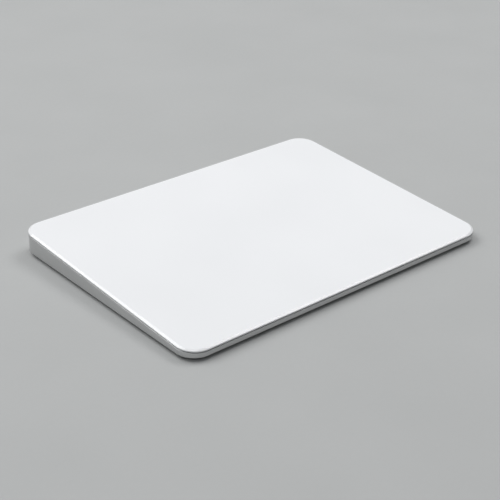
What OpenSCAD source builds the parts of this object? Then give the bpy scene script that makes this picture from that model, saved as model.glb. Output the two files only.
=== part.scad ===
// Wireless trackpad: a white glass touch plate on a low metal wedge case.
// Millimetres. The desk is z = 0, the front edge faces -Y, the back edge +Y, and x = 0 is the middle.
// The touch plate and all it rides on are drawn in a tilted frame whose z = 0 is the touch surface.

/* [Overall] */
// Width, left to right
body_w = 160; // [148:1:190]
// Depth, front edge to back edge
body_d = 114.9; // [108:0.1:130]
// Height of the touch surface above the desk at the front edge
front_h = 4.9; // [4.6:0.1:6.5]
// Height of the touch surface above the desk at the back edge
back_h = 10.9; // [10.2:0.1:14]
// Radius of the four corners, seen from above
corner_r = 8.6; // [6:0.1:12]

/* [Case] */
// Thickness of the side walls
case_wall = 1.2; // [1:0.1:1.8]
// Thickness of the floor
case_floor = 0.8; // [0.7:0.1:1.1]
// Height of the bevel along the bottom edge
under_up = 1; // [0.4:0.1:1]
// How far the bevel along the bottom edge runs in
under_in = 1.2; // [0.3:0.1:1.4]
// Bevel along the top rim
rim_bevel = 0.1; // [0.1:0.05:0.6]

/* [Feet] */
// Diameter of a foot
foot_d = 11; // [8:0.5:14]
// Height of the case's underside above the desk
foot_proud = 0.7; // [0.5:0.1:1]
// Depth of the recess that a foot is bonded into
foot_recess = 0.3; // [0.2:0.05:0.4]
// Distance from the outline's sides to a foot's middle
foot_inset = 15; // [13:0.5:22]

/* [Touch plate] */
// Thickness of the glass
glass_t = 1; // [0.8:0.1:1.3]
// How far the bevel along the glass's edge runs in
glass_in = 0.9; // [0.2:0.05:1.2]
// Height of the glass's upright edge, below its bevel
glass_land = 0.55; // [0.05:0.05:0.7]
// Thickness of the bond film under the glass
film_t = 0.1; // [0.05:0.05:0.2]
// Thickness of the touch sensor board
sensor_t = 0.6; // [0.4:0.1:0.8]
// Distance from the glass's edge to the sensor board's edge
sensor_inset = 3; // [2.6:0.1:6]
// Thickness of the stiffener sheet
stiffener_t = 0.4; // [0.3:0.1:0.6]
// Distance from the sensor board's edge to the stiffener's edge
stiffener_inset = 1; // [0.5:0.5:4]
// Side of the touch controller chip
controller_w = 9; // [6:0.5:12]
// Height of the touch controller chip
controller_h = 0.8; // [0.6:0.1:1]

/* [Travel] */
// How far the plate goes down when it is pressed
press_travel = 0.2; // [0.1:0.05:0.25]
// How far the haptic drive shifts the plate, each way
haptic_travel = 0.15; // [0.1:0.05:0.2]
// Room left between the glass and the case's rim at full press
rim_clear = 0.15; // [0.1:0.05:0.3]
// How far the power switch slides
switch_travel = 2.5; // [1.5:0.1:3]

/* [Flexures] */
// Thickness of the gel pads
pad_t = 0.8; // [0.7:0.05:1]
// Diameter of the gel pads
pad_d = 7; // [5:0.5:8.5]
// Thickness of the flexures
flexure_t = 0.4; // [0.3:0.05:0.5]
// Length of the flexure's screwed root
root_l = 8; // [7:0.5:10]
// Width of the flexure's screwed root
root_w = 11; // [10:0.5:12]
// Free length of the flexure's beam, from the root to the pad's middle
beam_l = 14; // [11:0.5:17]
// Width of the flexure's beam
beam_w = 5.5; // [4:0.5:7]
// Diameter of the flexure's tip
tip_d = 9; // [8.5:0.5:10]
// Distance from the glass's front or back edge to the flexure's middle line
flexure_inset = 13.5; // [13:0.5:18]

/* [Haptic drive] */
// Thickness of the attracted plate
armature_t = 0.6; // [0.4:0.1:0.7]
// Air gap left at full press
air_gap = 0.2; // [0.1:0.05:0.3]
// Length of one core
core_w = 20; // [18:0.5:22]
// Depth of one core
core_d = 12; // [10:0.5:14]
// Thickness of a core's yoke
yoke_t = 0.6; // [0.4:0.1:0.8]
// Width of a core's middle leg
leg_w = 6; // [4:0.5:7]
// Width of a core's outer legs
side_leg_w = 2; // [1.5:0.1:2.5]
// Room between a coil's winding and a core's outer legs
coil_room = 0.8; // [0.4:0.1:1.2]
// Thickness of the bracket
bracket_t = 0.4; // [0.3:0.1:0.6]
// Lowest height of the bracket above the floor
bracket_lift = 0.4; // [0.3:0.1:0.6]

/* [Battery] */
// Length of the cell, left to right
battery_w = 100; // [88:1:112]
// Depth of the cell, front to back
battery_d = 30; // [26:0.5:32]
// Room left above the cell for swelling, at full press
battery_room = 0.7; // [0.5:0.1:1.2]
// Thickness of the tape under the cell
tape_t = 0.2; // [0.1:0.05:0.3]

/* [Boards] */
// Thickness of the circuit boards
board_t = 0.8; // [0.6:0.1:1]
// Width of the main board
logic_w = 28; // [26:1:32]
// Depth of the main board
logic_d = 40; // [36:1:44]
// Height of the main board above the floor
logic_lift = 0.9; // [0.8:0.1:1]
// Reach of the back board to the left of the port's middle
io_left = 40; // [38:1:60]
// Reach of the back board to the right of the port's middle
io_right = 46; // [45:1:48]
// Depth of the back board
io_d = 7; // [6.8:0.1:7.4]
// Thickness of the flat flexes
flex_t = 0.15; // [0.1:0.05:0.2]

/* [Port and switch] */
// Width of the port's shell
port_w = 8.94; // [8.94]
// Height of the port's shell
port_h = 3.16; // [3.16]
// Length of the port's shell
port_l = 7.3; // [6.8:0.1:7.4]
// Height of the port's middle above the desk
port_z = 5.1; // [4.8:0.1:5.6]
// Distance from the back face to the port's mouth
port_recess = 0.45; // [0.2:0.05:0.6]
// Distance from the port's middle to the middle of the switch's travel
switch_x = 35; // [31:0.5:38]
// Width of the switch's knob
knob_w = 5.4; // [4.8:0.1:6]
// Height of the switch's knob
knob_h = 2.6; // [2:0.1:3]

/* [Screws] */
// Diameter of the screws
screw_d = 1.4; // [1.2:0.1:1.6]
// Diameter of the screw heads
head_d = 2.6; // [2.2:0.1:3]
// Height of the screw heads
head_h = 0.4; // [0.3:0.05:0.45]
// Length of screw that grips in a boss
screw_grip = 0.9; // [0.7:0.1:1]

/* [Hidden] */
$fn = 64;

// Clearances
fit = 0.1;         // round and slotted fits, each side
touch = 0.02;      // ends that meet a part that moves
apart = 1.5;       // neighbours on the floor
over = 1;          // how far a cutter reaches past what it cuts
seam = 0.1;        // how much larger the rim bevel's corners are than the wall's
fine = 0.001;      // the plate's depth is rounded to this, so that its sides and corners meet

// Tilted frame of the touch plate, and heights in it
tilt = atan((back_h - front_h) / body_d);
mid_h = (front_h + back_h) / 2;
plate_d = round(body_d / cos(tilt) / fine) * fine;
glass_n = -glass_t;
film_n = glass_n - film_t;
sensor_n = film_n - sensor_t;
stiffener_n = sensor_n - stiffener_t;
rim_n = glass_n - press_travel - rim_clear;
flexure_top_n = stiffener_n - pad_t;
flexure_n = flexure_top_n - flexure_t;
armature_n = stiffener_n - armature_t;
core_top_n = armature_n - press_travel - air_gap;

// Where a point of the tilted frame lies in the part's frame
function plate_y(v, n) = v * cos(tilt) - n * sin(tilt);
function plate_z(v, n) = mid_h + v * sin(tilt) + n * cos(tilt);
// Height of the stiffener's underside at a depth y
function under_plate(y) = mid_h + y * tan(tilt) + stiffener_n / cos(tilt);
// Depth y at which a plane of constant v meets the floor
function floor_y(v) = plate_y(v, (floor_z - mid_h - v * sin(tilt)) / cos(tilt));

// Case
floor_z = foot_proud + case_floor;
inner_w = body_w - 2 * case_wall;
inner_d = body_d - 2 * case_wall;
back_in = inner_d / 2;
back_out = body_d / 2;

// Touch plate
sensor_w = body_w - 2 * sensor_inset;
sensor_d = plate_d - 2 * sensor_inset;
sensor_r = max(corner_r - sensor_inset, 1);
stiffener_r = max(sensor_r - stiffener_inset, 1);
controller_u = -45;
window_room = 1;

// Flexures
flexure_gap = 1.2;
flexure_u = inner_w / 2 - flexure_gap;
flexure_v = plate_d / 2 - flexure_inset;
tip_x = root_l + beam_l;
root_edge = 1;
root_screw_x = head_d / 2 + 2 * root_edge;
root_screw_y = root_w / 2 - head_d / 2 - root_edge;
gauge_t = 0.08;
gauge_l = 5;
gauge_w = 4;
tail_w = 1.5;
tail_fold = 1.5;
tail_in = 0.4;
tail_x = root_l - tail_in - tail_w;
tail_u = flexure_u - tail_x - tail_w;

// Screws, their bosses, and the floor flexes with the blocks that they plug into
screw_hole_d = screw_d + 2 * fit;
hole_depth = screw_grip + fit;
drive_d = 1.2;
boss_d = 4.5;
boss_edge = 0.25;
strip_w = 3;
pin_w = 4;
pin_in = 2;

// Back board, then the battery, then the haptic drive, from the back wall forwards
io_gap = 0.5;
io_y1 = back_in - io_gap;
io_y0 = io_y1 - io_d;
io_y = (io_y0 + io_y1) / 2;
io_top = port_z - port_h / 2;
io_bottom = io_top - board_t;
io_screw_x = [-21, 20];
io_connector_edge = 1;
io_connector_x = io_right - io_connector_edge - pin_w;
io_connector_y = io_y0 + io_connector_edge;
battery_gap = 1.1;
battery_y1 = io_y0 - battery_gap;
battery_y0 = battery_y1 - battery_d;
battery_z = floor_z + tape_t;
battery_t = under_plate(battery_y0) - press_travel - battery_room - battery_z;
battery_r = 1.5;
battery_board_t = 0.8;
battery_board_d = 16;
battery_board_y = battery_y0 + 4;
battery_board_low = 0.5;
tape_d = 8;
tape_edge = 2;
lead_w = 4;
lead_x = battery_w / 2 + battery_board_t;
io_strip_x = lead_x + lead_w + apart;

// Haptic drive
core_gap = 4;
core_u = (core_gap + core_w) / 2;
coil_fit = 0.2;
coil_t = (core_w - leg_w) / 2 - side_leg_w - coil_fit - coil_room;
coil_in_w = leg_w + 2 * coil_fit;
coil_in_d = core_d + 2 * coil_fit;
coil_out_w = coil_in_w + 2 * coil_t;
coil_out_d = coil_in_d + 2 * coil_t;
coil_low = 0.2;
post_w = 0.8;
bracket_ear = 7;
bracket_edge = 0.5;
bracket_r = 2;
bracket_w = core_gap + 2 * core_w + 2 * bracket_ear;
bracket_d = coil_out_d + 2 * bracket_edge;
haptic_v = battery_y0 - apart - bracket_d / 2;
bracket_n = (floor_z + bracket_lift - mid_h - (haptic_v - bracket_d / 2) * sin(tilt)) / cos(tilt);
core_n = bracket_n + bracket_t;
leg_n = core_n + yoke_t;
coil_n = leg_n + fit;
coil_h = core_top_n - coil_n - coil_low;
ear_edge = 1.2;
bracket_screw_u = bracket_w / 2 - head_d / 2 - ear_edge;
bracket_screw_v = 4;
haptic_strip_in = 0.4;
haptic_strip_v = haptic_v - coil_out_d / 2 + haptic_strip_in;
haptic_strip_w = 2.4;
armature_w = core_gap + 2 * core_w;
armature_r = 1;

// Main board, beside the haptic drive
logic_gap = 2;
logic_x0 = bracket_w / 2 + logic_gap;
logic_x1 = logic_x0 + logic_w;
logic_y1 = battery_y0 - apart;
logic_y0 = logic_y1 - logic_d;
logic_z = floor_z + logic_lift;
logic_top = logic_z + board_t;
logic_boss_in = boss_d / 2 + boss_edge;
logic_screw_at = [
    [logic_x0 + logic_boss_in, logic_y0 + logic_boss_in],
    [logic_x1 - logic_boss_in, logic_y0 + logic_boss_in],
    [logic_x0 + logic_boss_in, logic_y1 - logic_boss_in]];
pin_h = logic_lift - flex_t;
left_pin_x = logic_x0 + pin_in;
right_pin_x = logic_x1 - pin_in - pin_w;
gauge_left_y = logic_y0 + boss_d + apart;
gauge_right_y = gauge_left_y + strip_w + apart;
haptic_pin_y = plate_y(haptic_strip_v, bracket_n);
lead_pin_x = left_pin_x + pin_w + apart;
lead_pin_y = logic_y1 - pin_in - pin_w;
io_pin_x = lead_pin_x + pin_w + apart;
io_pin_y = lead_pin_y - strip_w - apart;
processor_at = [logic_x0 + 8, logic_y0 + 26, logic_top];
processor_size = [8, 8, 0.9];
power_chip_at = [logic_x0 + 20, logic_y0 + 28, logic_top];
power_chip_size = [5, 5, 0.8];

// Pieces on the back board
charge_chip_size = [4, 4, 0.8];
charge_chip_at = [10, io_y - charge_chip_size[1] / 2, io_top];
radio_edge = 0.6;
radio_size = [11, io_d - 2 * radio_edge, 1.6];
radio_at = [-18, io_y0 + radio_edge, io_top];
antenna_size = [14, 4, 3.5];
antenna_t = 0.3;
antenna_edge = 1;
antenna_leg_w = 2;
antenna_legs = [0, 4];

// Sensor flex and its two connectors
socket_w = 12;
socket_l = 3;
socket_h = 0.9;
socket_x = logic_x0 + logic_w / 2;
socket_y = gauge_right_y + strip_w + apart;
socket_v = (socket_y + (sensor_n - socket_h / 2) * sin(tilt)) / cos(tilt);
sensor_flex_w = 10;
sensor_flex_bulge = 2.4;
sensor_flex_steps = 16;
flex_room = window_room + haptic_travel;

// Port
port_y1 = back_out - port_recess;
port_y0 = port_y1 - port_l;
port_skin = 0.3;
port_back = 0.8;
port_fit = 0.15;
tongue_w = 6.69;
tongue_t = 0.7;
tongue_in = 1;
tongue_l = port_l - port_back - tongue_in;
contact_count = 8;
contact_pitch = 0.7;
contact_w = 0.35;
contact_l = 3.5;
contact_t = 0.1;
contact_in = 0.4;

// Switch, drawn at rest, which is off
pocket_deep = 0.5;
knob_gap = 0.15;
knob_t = 0.3;
knob_grooves = 3;
knob_groove_w = 0.4;
knob_off_x = switch_x - switch_travel / 2;
neck_w = 2.4;
neck_h = 1.2;
flange_lap = 0.2;
flange_w = neck_w + 2 * (switch_travel + fit + flange_lap);
flange_h = 2.4;
flange_t = 0.8;
flange_y1 = back_in - fit;
flange_y0 = flange_y1 - flange_t;
lever_w = 1.5;
lever_h = 1.2;
lever_in = 0.5;
switch_w = 9;
switch_d = 3.4;
switch_h = 2.8;
switch_edge = 0.8;
switch_y0 = io_y0 + switch_edge;
switch_y1 = switch_y0 + switch_d;
pocket_fit = 0.2;
pocket_w = knob_w + switch_travel + 2 * pocket_fit;
pocket_h = knob_h + 2 * pocket_fit;
marker_t = 0.08;
marker_d = 1.2;
marker_x = switch_x - pocket_w / 2 + 2 * pocket_fit + marker_d / 2;

// Shared shapes

// Rectangle with round corners, about the middle
module round_rect(w, d, r) {
    square([w - 2 * r, d], center = true);
    square([w, d - 2 * r], center = true);
    for (x = [-1, 1], y = [-1, 1])
        translate([x * (w / 2 - r), y * (d / 2 - r)])
            circle(r);
}

// Bar with half-round ends, about the middle
module stadium(w, h) {
    square([w - h, h], center = true);
    for (x = [-1, 1])
        translate([x * (w - h) / 2, 0])
            circle(d = h);
}

// Outside of a bevel along the edge of a slab whose top is z = 0: prisms along the sides, quarter rings
// at the corners. The bevel runs in and down from the slab's edge.
module bevel_cutter(w, d, r, in, down) {
    for (side = [0, 180])
        rotate([0, 0, side])
            rotate([90, 0, 0])
                linear_extrude(d - 2 * r, center = true)
                    bevel_profile(w / 2, in, down);
    for (side = [90, 270])
        rotate([0, 0, side])
            rotate([90, 0, 0])
                linear_extrude(w - 2 * r, center = true)
                    bevel_profile(d / 2, in, down);
    for (x = [-1, 1], y = [-1, 1])
        translate([x * (w / 2 - r), y * (d / 2 - r), 0])
            rotate([0, 0, x > 0 ? (y > 0 ? 0 : -90) : (y > 0 ? 90 : 180)])
                rotate_extrude(angle = 90)
                    bevel_profile(r, in, down);
}

// Section of that cutter, with the bevel's slope carried on past both of its ends
module bevel_profile(out, in, down) {
    rise = over * down / in;
    polygon([
        [out - in - over, rise],
        [out + over, rise],
        [out + over, -down - rise]]);
}

// Draws in the tilted frame of the touch plate
module in_plate() {
    translate([0, 0, mid_h])
        rotate([tilt, 0, 0])
            children();
}

// Flat sheet of the tilted frame, from height n upwards
module sheet(n, t) {
    in_plate()
        translate([0, 0, n])
            linear_extrude(t)
                children();
}

// Draws at a flexure: local +X runs inwards from the side wall, local +Y towards the front or back edge
module at_flexure(side, end) {
    translate([side * flexure_u, end * flexure_v, 0])
        mirror([side > 0 ? 1 : 0, 0, 0])
            mirror([0, end < 0 ? 1 : 0, 0])
                children();
}

// Keeps what stands above height z
module above(z) {
    intersection() {
        children();
        translate([-body_w, -body_d, z])
            cube([2 * body_w, 2 * body_d, 2 * back_h]);
    }
}

// Box between two corners
module box(low, high) {
    translate(low)
        cube(high - low);
}

// Extrudes an outline from y0 to y1, at height z
module along_y(x, y0, y1, z) {
    translate([x, y0, z])
        rotate([-90, 0, 0])
            linear_extrude(y1 - y0)
                children();
}

// Screw with its head standing on z = 0
module screw(through) {
    difference() {
        union() {
            cylinder(d = head_d, h = head_h);
            translate([0, 0, -through - screw_grip])
                cylinder(d = screw_d, h = through + screw_grip + head_h / 2);
        }
        translate([0, 0, head_h / 2])
            cylinder(d = drive_d, h = head_h, $fn = 6);
    }
}

// Hole down from z = 0 for a screw's grip
module screw_hole() {
    translate([0, 0, -hole_depth])
        cylinder(d = screw_hole_d, h = hole_depth + over);
}

module at_root_screws() {
    for (y = [-1, 1])
        translate([root_screw_x, y * root_screw_y, 0])
            children();
}

module at_bracket_screws() {
    for (u = [-1, 1], v = [-1, 1])
        translate([u * bracket_screw_u, haptic_v + v * bracket_screw_v, 0])
            children();
}

module at_logic_screws() {
    for (p = logic_screw_at)
        translate([p[0], p[1], 0])
            children();
}

module at_io_screws() {
    for (x = io_screw_x)
        translate([x, io_y, 0])
            children();
}

// Case

// The rim bevel's corners are a little larger than the wall's, so that the seams of the two stay apart
module case_shell() {
    difference() {
        translate([0, 0, foot_proud])
            linear_extrude(back_h)
                round_rect(body_w, body_d, corner_r);
        translate([0, 0, floor_z])
            linear_extrude(2 * back_h)
                round_rect(inner_w, inner_d, corner_r - case_wall);
        in_plate()
            translate([-body_w, -body_d, rim_n])
                cube([2 * body_w, 2 * body_d, 2 * back_h]);
        in_plate()
            translate([0, rim_n * tan(tilt), rim_n])
                bevel_cutter(body_w, plate_d, corner_r + seam, rim_bevel, rim_bevel);
        translate([0, 0, foot_proud])
            mirror([0, 0, 1])
                bevel_cutter(body_w, body_d, corner_r, under_in, under_up);
    }
}

// Bosses rise from the middle of the floor's thickness
module case_bosses() {
    above(foot_proud + case_floor / 2) {
        for (side = [-1, 1], end = [-1, 1])
            in_plate()
                at_flexure(side, end)
                    box([0, -root_w / 2, flexure_n - back_h], [root_l, root_w / 2, flexure_n]);
        in_plate()
            at_bracket_screws()
                translate([0, 0, bracket_n - back_h])
                    cylinder(d = boss_d, h = back_h);
        at_logic_screws()
            cylinder(d = boss_d, h = logic_z);
        at_io_screws()
            cylinder(d = boss_d, h = io_bottom);
    }
}

module case_screw_holes() {
    for (side = [-1, 1], end = [-1, 1])
        in_plate()
            at_flexure(side, end)
                at_root_screws()
                    translate([0, 0, flexure_n])
                        screw_hole();
    in_plate()
        at_bracket_screws()
            translate([0, 0, bracket_n])
                screw_hole();
    at_logic_screws()
        translate([0, 0, logic_z])
            screw_hole();
    at_io_screws()
        translate([0, 0, io_bottom])
            screw_hole();
}

module case_openings() {
    for (x = [-1, 1], y = [-1, 1])
        translate([x * (body_w / 2 - foot_inset), y * (body_d / 2 - foot_inset), foot_proud - over])
            cylinder(d = foot_d + 2 * fit, h = foot_recess + over);
    along_y(0, back_in - over, back_out + over, port_z)
        stadium(port_w + 2 * port_fit, port_h + 2 * port_fit);
    along_y(switch_x, back_out - pocket_deep, back_out + over, port_z)
        stadium(pocket_w, pocket_h);
    along_y(switch_x, back_in - over, back_out + over, port_z)
        square([neck_w + switch_travel + 2 * fit, neck_h + 2 * fit], center = true);
}

module lower_case() {
    color([0.62, 0.63, 0.64])
        difference() {
            union() {
                case_shell();
                case_bosses();
            }
            case_screw_holes();
            case_openings();
        }
}

module foot(x, y) {
    color([0.25, 0.25, 0.26])
        translate([x * (body_w / 2 - foot_inset), y * (body_d / 2 - foot_inset), 0])
            cylinder(d = foot_d, h = foot_proud + foot_recess);
}

// Touch plate

module cover_glass() {
    color([0.95, 0.95, 0.96])
        difference() {
            sheet(glass_n, glass_t)
                round_rect(body_w, plate_d, corner_r);
            in_plate()
                bevel_cutter(body_w, plate_d, corner_r, glass_in, glass_t - glass_land);
        }
}

module bond_film() {
    color([0.9, 0.9, 0.88])
        sheet(film_n, film_t)
            round_rect(sensor_w, sensor_d, sensor_r);
}

module sensor_board() {
    color([0.1, 0.3, 0.2])
        sheet(sensor_n, sensor_t)
            round_rect(sensor_w, sensor_d, sensor_r);
}

// Windows let the controller and the sensor flex through
module plate_stiffener() {
    color([0.7, 0.72, 0.74])
        sheet(stiffener_n, stiffener_t)
            difference() {
                round_rect(sensor_w - 2 * stiffener_inset, sensor_d - 2 * stiffener_inset, stiffener_r);
                translate([controller_u, haptic_v])
                    square(controller_w + 2 * window_room, center = true);
                translate([socket_x - socket_w / 2 - flex_room, socket_v - sensor_flex_bulge - flex_room])
                    square([socket_w + 2 * flex_room, socket_l + sensor_flex_bulge + 2 * flex_room]);
            }
}

module touch_controller() {
    color([0.12, 0.12, 0.13])
        sheet(sensor_n - controller_h, controller_h)
            translate([controller_u, haptic_v])
                square(controller_w, center = true);
}

module sensor_connector() {
    color([0.85, 0.8, 0.7])
        sheet(sensor_n - socket_h, socket_h)
            translate([socket_x - socket_w / 2, socket_v])
                square([socket_w, socket_l]);
}

module armature_plate() {
    color([0.55, 0.56, 0.58])
        sheet(armature_n, armature_t)
            translate([0, haptic_v])
                round_rect(armature_w, core_d, armature_r);
}

// Flexures that carry the plate

module gel_pad(side, end) {
    color([0.75, 0.85, 0.9])
        in_plate()
            at_flexure(side, end)
                translate([tip_x, 0, flexure_top_n])
                    cylinder(d = pad_d, h = pad_t);
}

module flexure(side, end) {
    color([0.72, 0.73, 0.75])
        in_plate()
            at_flexure(side, end)
                translate([0, 0, flexure_n])
                    linear_extrude(flexure_t)
                        difference() {
                            union() {
                                translate([0, -root_w / 2])
                                    square([root_l, root_w]);
                                translate([root_l / 2, -beam_w / 2])
                                    square([tip_x - root_l / 2, beam_w]);
                                translate([tip_x, 0])
                                    circle(d = tip_d);
                            }
                            at_root_screws()
                                circle(d = screw_hole_d);
                        }
}

// Sensing patch on the beam, with a strip back to the root's inner edge
module strain_gauge(side, end) {
    color([0.8, 0.55, 0.2])
        in_plate()
            at_flexure(side, end)
                translate([0, 0, flexure_top_n])
                    linear_extrude(gauge_t) {
                        translate([tail_x, -gauge_w / 2])
                            square([root_l + gauge_l - tail_x, gauge_w]);
                        translate([tail_x, tail_fold - root_w / 2])
                            square([tail_w, root_w / 2 - tail_fold]);
                    }
}

module flexure_screws() {
    color([0.4, 0.4, 0.42])
        for (side = [-1, 1], end = [-1, 1])
            in_plate()
                at_flexure(side, end)
                    at_root_screws()
                        translate([0, 0, flexure_top_n])
                            screw(flexure_t);
}

// Fold over a root's inner edge and down the boss to the floor
module gauge_tail(side, end) {
    above(floor_z)
        in_plate()
            at_flexure(side, end) {
                box([tail_x, -root_w / 2 - flex_t, flexure_n - back_h],
                    [tail_x + tail_w, -root_w / 2, flexure_top_n + flex_t]);
                box([tail_x, -root_w / 2 - flex_t, flexure_top_n],
                    [tail_x + tail_w, tail_fold - root_w / 2, flexure_top_n + flex_t]);
            }
}

// Strip along the floor beside one wall, between the two tails, with a branch to the main board
module gauge_flex(side, pin_end_x, pin_y) {
    front_y = floor_y(-flexure_v + root_w / 2);
    back_y = floor_y(flexure_v - root_w / 2);
    strip_in = side * tail_u;
    strip_out = side * (tail_u + tail_w);
    color([0.75, 0.5, 0.15]) {
        gauge_tail(side, -1);
        gauge_tail(side, 1);
        box([min(strip_in, strip_out), front_y, floor_z],
            [max(strip_in, strip_out), back_y - flex_t / 2, floor_z + flex_t]);
        box([min(strip_out, pin_end_x), pin_y, floor_z],
            [max(strip_out, pin_end_x), pin_y + strip_w, floor_z + flex_t]);
    }
}

// Haptic drive

module haptic_bracket() {
    color([0.6, 0.61, 0.63])
        sheet(bracket_n, bracket_t)
            difference() {
                translate([0, haptic_v])
                    round_rect(bracket_w, bracket_d, bracket_r);
                at_bracket_screws()
                    circle(d = screw_hole_d);
            }
}

module haptic_core(side) {
    color([0.35, 0.36, 0.38])
        in_plate()
            translate([side * core_u, haptic_v, core_n]) {
                box([-core_w / 2, -core_d / 2, 0], [core_w / 2, core_d / 2, yoke_t]);
                box([-leg_w / 2, -core_d / 2, 0], [leg_w / 2, core_d / 2, core_top_n - core_n]);
                for (s = [-1, 1])
                    translate([s * (core_w - side_leg_w) / 2 - side_leg_w / 2, -core_d / 2, 0])
                        cube([side_leg_w, core_d, core_top_n - core_n]);
            }
}

// Winding round the middle leg, with a post down to the flex
module haptic_coil(side) {
    color([0.8, 0.45, 0.2])
        in_plate()
            translate([side * core_u, haptic_v, 0]) {
                translate([0, 0, coil_n])
                    linear_extrude(coil_h)
                        difference() {
                            round_rect(coil_out_w, coil_out_d, coil_t);
                            round_rect(coil_in_w, coil_in_d, coil_fit);
                        }
                translate([0, haptic_strip_v - haptic_v + haptic_strip_w / 2, core_n + flex_t])
                    box([-post_w / 2, -post_w / 2, 0],
                        [post_w / 2, post_w / 2, coil_n - core_n - flex_t + coil_h / 2]);
            }
}

module haptic_screws() {
    color([0.4, 0.4, 0.42])
        in_plate()
            at_bracket_screws()
                translate([0, 0, core_n])
                    screw(bracket_t);
}

// Strip on the bracket, down its side and along the floor to the main board
module haptic_flex() {
    color([0.75, 0.5, 0.15]) {
        above(floor_z)
            in_plate()
                translate([0, haptic_strip_v, 0]) {
                    box([-core_u - 2, 0, core_n], [bracket_w / 2 + flex_t, haptic_strip_w, core_n + flex_t]);
                    box([bracket_w / 2, 0, core_n - back_h],
                        [bracket_w / 2 + flex_t, haptic_strip_w, core_n + flex_t]);
                }
        box([bracket_w / 2, haptic_pin_y, floor_z],
            [left_pin_x + pin_w, haptic_pin_y + haptic_strip_w, floor_z + flex_t]);
    }
}

// Battery

module battery_cell() {
    color([0.3, 0.31, 0.33])
        translate([0, (battery_y0 + battery_y1) / 2, battery_z])
            linear_extrude(battery_t)
                round_rect(battery_w, battery_d, battery_r);
}

module battery_tape() {
    tape_x = battery_w / 2 - tape_edge;
    color([0.15, 0.15, 0.16])
        for (y = [battery_y0 + tape_edge, battery_y1 - tape_edge - tape_d])
            box([-tape_x, y, floor_z], [tape_x, y + tape_d, battery_z]);
}

module battery_board() {
    color([0.1, 0.35, 0.2])
        box([battery_w / 2, battery_board_y, floor_z],
            [lead_x, battery_board_y + battery_board_d, battery_z + battery_t - battery_board_low]);
}

// Strip from the protection board, under the main board's back edge
module battery_lead() {
    lead_y1 = battery_board_y + battery_board_d / 2;
    color([0.75, 0.5, 0.15]) {
        box([lead_x, lead_pin_y, floor_z], [lead_x + lead_w, lead_y1, floor_z + flex_t]);
        box([lead_x, lead_y1 - strip_w, floor_z], [lead_x + flex_t, lead_y1, battery_z + battery_t / 2]);
        box([lead_pin_x, lead_pin_y, floor_z], [lead_x + lead_w, lead_pin_y + strip_w, floor_z + flex_t]);
    }
}

// Main board

module logic_board() {
    color([0.08, 0.25, 0.4])
        difference() {
            box([logic_x0, logic_y0, logic_z], [logic_x1, logic_y1, logic_top]);
            at_logic_screws()
                translate([0, 0, logic_z - over])
                    cylinder(d = screw_hole_d, h = board_t + 2 * over);
        }
}

module logic_processor() {
    color([0.12, 0.12, 0.13])
        translate(processor_at)
            cube(processor_size);
}

module logic_power_chip() {
    color([0.15, 0.15, 0.16])
        translate(power_chip_at)
            cube(power_chip_size);
}

// Blocks under the board that the floor flexes plug into, and the sensor flex's socket on top
module logic_connectors() {
    color([0.85, 0.8, 0.7]) {
        for (p = [
            [left_pin_x, gauge_left_y, strip_w],
            [right_pin_x, gauge_right_y, strip_w],
            [left_pin_x, haptic_pin_y, haptic_strip_w],
            [lead_pin_x, lead_pin_y, strip_w],
            [io_pin_x, io_pin_y, strip_w]])
            translate([p[0], p[1], floor_z + flex_t])
                cube([pin_w, p[2], pin_h]);
        translate([socket_x - socket_w / 2, socket_y, logic_top])
            cube([socket_w, socket_l, socket_h]);
    }
}

module logic_screws() {
    color([0.4, 0.4, 0.42])
        at_logic_screws()
            translate([0, 0, logic_top])
                screw(board_t);
}

// Points of the sensor flex's bend, seen from the side, from the plate's connector to the board's socket
function bend(a, b, out, t) =
    a * pow(1 - t, 3) + (a + out) * 3 * t * pow(1 - t, 2) + (b + out) * 3 * t * t * (1 - t) + b * pow(t, 3);
function bend_dir(a, b, out, t) =
    let (d = out * 3 * pow(1 - t, 2) + (b - a) * 6 * t * (1 - t) - out * 3 * t * t) d / norm(d);
function turned(d) = [-d[1], d[0]];

module sensor_flex() {
    top_n = sensor_n - socket_h / 2;
    top_end = [plate_y(socket_v, top_n) - touch, plate_z(socket_v, top_n)];
    low_end = [socket_y, logic_top + socket_h / 2];
    out = [-sensor_flex_bulge, 0];
    steps = [for (i = [0:sensor_flex_steps]) i / sensor_flex_steps];
    side_a = [for (t = steps)
        bend(top_end, low_end, out, t) + turned(bend_dir(top_end, low_end, out, t)) * flex_t / 2];
    side_b = [for (t = steps)
        bend(top_end, low_end, out, 1 - t) - turned(bend_dir(top_end, low_end, out, 1 - t)) * flex_t / 2];
    color([0.75, 0.5, 0.15])
        translate([socket_x - sensor_flex_w / 2, 0, 0])
            rotate([90, 0, 90])
                linear_extrude(sensor_flex_w)
                    polygon(concat(side_a, side_b));
}

// Back board

module io_board() {
    color([0.08, 0.25, 0.4])
        difference() {
            box([-io_left, io_y0, io_bottom], [io_right, io_y1, io_top]);
            at_io_screws()
                translate([0, 0, io_bottom - over])
                    cylinder(d = screw_hole_d, h = board_t + 2 * over);
        }
}

module io_connector() {
    color([0.85, 0.8, 0.7])
        box([io_connector_x, io_connector_y, floor_z + flex_t],
            [io_connector_x + pin_w, io_connector_y + strip_w, io_bottom]);
}

module io_flex() {
    color([0.75, 0.5, 0.15]) {
        box([io_connector_x, io_connector_y, floor_z],
            [io_strip_x + strip_w, io_connector_y + strip_w, floor_z + flex_t]);
        box([io_strip_x, io_pin_y, floor_z],
            [io_strip_x + strip_w, io_connector_y + strip_w, floor_z + flex_t]);
        box([io_pin_x, io_pin_y, floor_z], [io_strip_x + strip_w, io_pin_y + strip_w, floor_z + flex_t]);
    }
}

module io_screws() {
    color([0.4, 0.4, 0.42])
        at_io_screws()
            translate([0, 0, io_top])
                screw(board_t);
}

module charge_chip() {
    color([0.12, 0.12, 0.13])
        translate(charge_chip_at)
            cube(charge_chip_size);
}

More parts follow.
